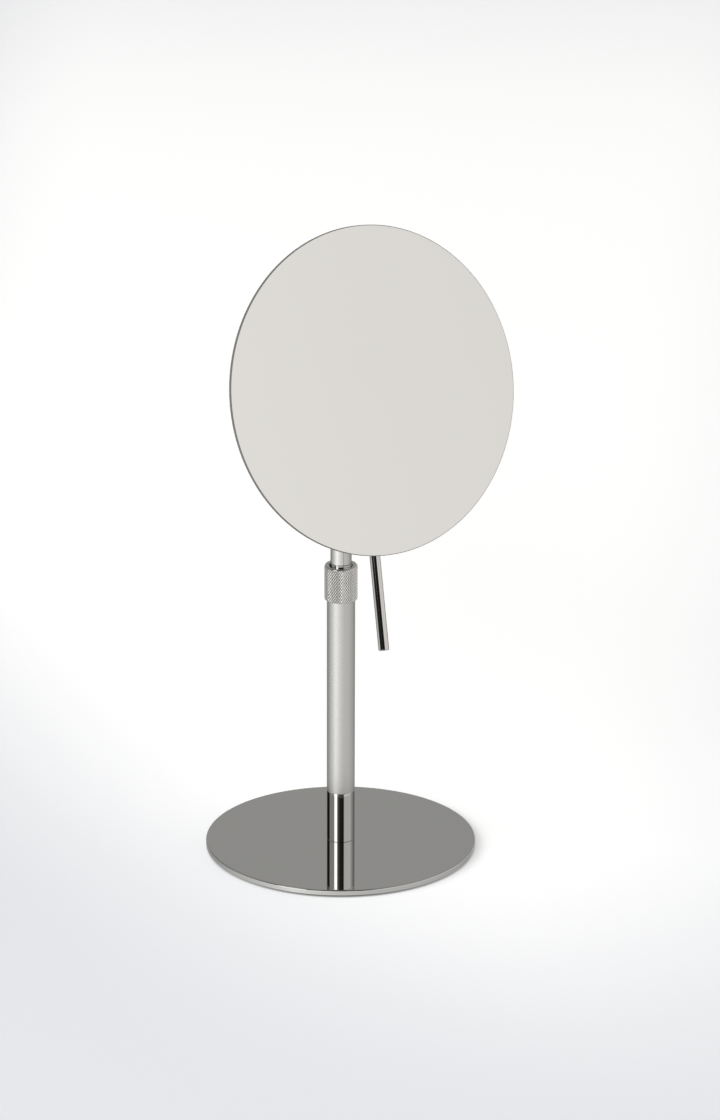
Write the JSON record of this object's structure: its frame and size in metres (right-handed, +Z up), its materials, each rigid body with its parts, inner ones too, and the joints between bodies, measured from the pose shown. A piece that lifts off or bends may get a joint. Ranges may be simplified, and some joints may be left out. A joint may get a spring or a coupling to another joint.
{
  "type": "extendable shaving mirror",
  "caption": "Free-standing round shaving mirror on a telescopic pole with a knurled clamp collar, a ball joint behind the glass and a lever handle, on a heavy round base plate.",
  "frame": {"origin": "centre of the underside of the base, on the surface that it rests on", "axes": "+Z up along the pole, the mirror looks towards -Y, +X to the right of a person who looks into it"},
  "size_m": [0.1824, 0.154, 0.3702],
  "materials": {
    "polished_chrome": "polished",
    "satin_chrome": "satin",
    "knurled_chrome": "fine diamond knurl",
    "mirror_glass": "silvered glass",
    "pad_foam": "matte",
    "acetal": "matte",
    "zinc_steel": "zinc plated",
    "plain_brass": "turned",
    "glue": "matte"
  },
  "bodies": {
    "stand": {"base_plate": "polished_chrome", "base_pad": "pad_foam", "base_screw": "zinc_steel", "foot_stub": "polished_chrome", "outer_tube": "satin_chrome", "collet": "polished_chrome"},
    "collar": {"clamp_collar": "knurled_chrome"},
    "glide": {"glide_bush": "acetal"},
    "mast": {"inner_tube": "satin_chrome", "foot_plug": "plain_brass", "stop_screw": "zinc_steel", "tube_head": "satin_chrome", "ball_stud": "polished_chrome", "stud_lock_screw": "zinc_steel"},
    "socket": {"ball_seat_front": "acetal", "ball_seat_rear": "acetal"},
    "mirror": {"disc_spring": "zinc_steel", "socket_ring": "polished_chrome", "hub_body": "polished_chrome", "hub_washer": "zinc_steel", "hub_nut": "plain_brass", "back_plate": "satin_chrome", "glue_ring": "glue", "mirror_glass": "mirror_glass", "lever_rod": "polished_chrome", "lever_stud": "zinc_steel"}
  },
  "joints": [
    {"name": "collar_twist", "type": "hinge", "parent": "stand", "child": "collar", "pos_m": [0, 0, 0.1601], "axis": [0, 0, 1], "range_deg": [0, 180]},
    {"name": "height_slide", "type": "slide", "parent": "stand", "child": "glide", "axis": [0, 0, 1], "range_m": [-0.055, 0.04]},
    {"name": "mast_swivel", "type": "hinge", "parent": "glide", "child": "mast", "pos_m": [0, 0, 0.2], "axis": [0, 0, 1], "continuous": true},
    {"name": "mirror_tilt", "type": "hinge", "parent": "mast", "child": "socket", "pos_m": [0, -0.0183, 0.2782], "axis": [-1, 0, 0], "range_deg": [-17, 18]},
    {"name": "mirror_turn", "type": "hinge", "parent": "socket", "child": "mirror", "pos_m": [0, -0.0183, 0.2782], "axis": [0, -0.9593, 0.2823], "continuous": true}
  ]
}
